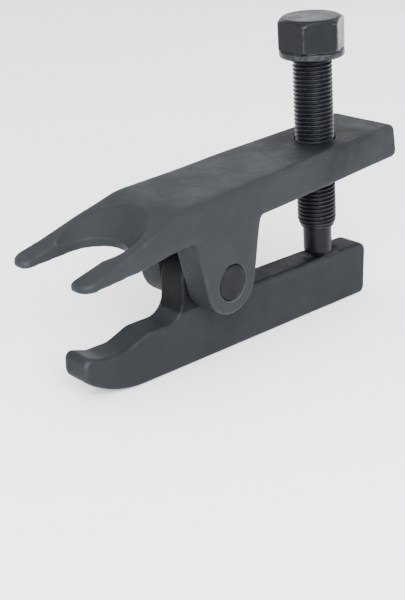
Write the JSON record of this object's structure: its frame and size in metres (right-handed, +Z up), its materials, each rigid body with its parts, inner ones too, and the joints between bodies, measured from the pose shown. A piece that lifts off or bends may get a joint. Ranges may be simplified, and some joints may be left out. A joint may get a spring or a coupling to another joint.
{
  "type": "ball joint separator",
  "caption": "Scissor ball joint separator: forged fork arm, pinned lever and a hex-headed forcing screw that closes the jaws.",
  "frame": {"origin": "centre of the bounding box at its base, on the lever's flat underside", "axes": "+X to the rear, away from the fork tips; +Y across the tool, along the pivot pin; +Z up, from the lever towards the screw head"},
  "size_m": [0.1491, 0.0376, 0.1088],
  "materials": {
    "forged_arm": "black oxide over forged skin",
    "forged_lever": "black oxide over forged skin",
    "turned_pin": "black oxide, turned",
    "screw_steel": "oiled black oxide",
    "ball_steel": "hardened and polished"
  },
  "bodies": {
    "lever": {"lower_lever": "forged_lever"},
    "arm": {"upper_fork_arm": "forged_arm", "pivot_pin": "turned_pin"},
    "thrust": {"thrust_ball": "ball_steel"},
    "screw": {"forcing_screw": "screw_steel"}
  },
  "joints": [
    {"name": "arm_pivot", "type": "hinge", "parent": "lever", "child": "arm", "pos_m": [-0.01331, 0, 0.0298], "axis": [0, -1, 0], "range_deg": [-17.44, 23.25]},
    {"name": "screw_feed", "type": "slide", "parent": "arm", "child": "thrust", "axis": [0.0732, 0, -0.9973], "range_m": [-0.018, 0.024]},
    {"name": "screw_turn", "type": "hinge", "parent": "thrust", "child": "screw", "pos_m": [0.04211, 0, 0.09433], "axis": [0.0732, 0, -0.9973], "range_deg": [-4449.6, 5932.8]}
  ],
  "couplings": [
    {"joint": "screw_turn", "follows": "screw_feed", "rad_per_m": 4188.8},
    {"joint": "arm_pivot", "follows": "screw_feed", "rad_per_m": 16.418}
  ]
}
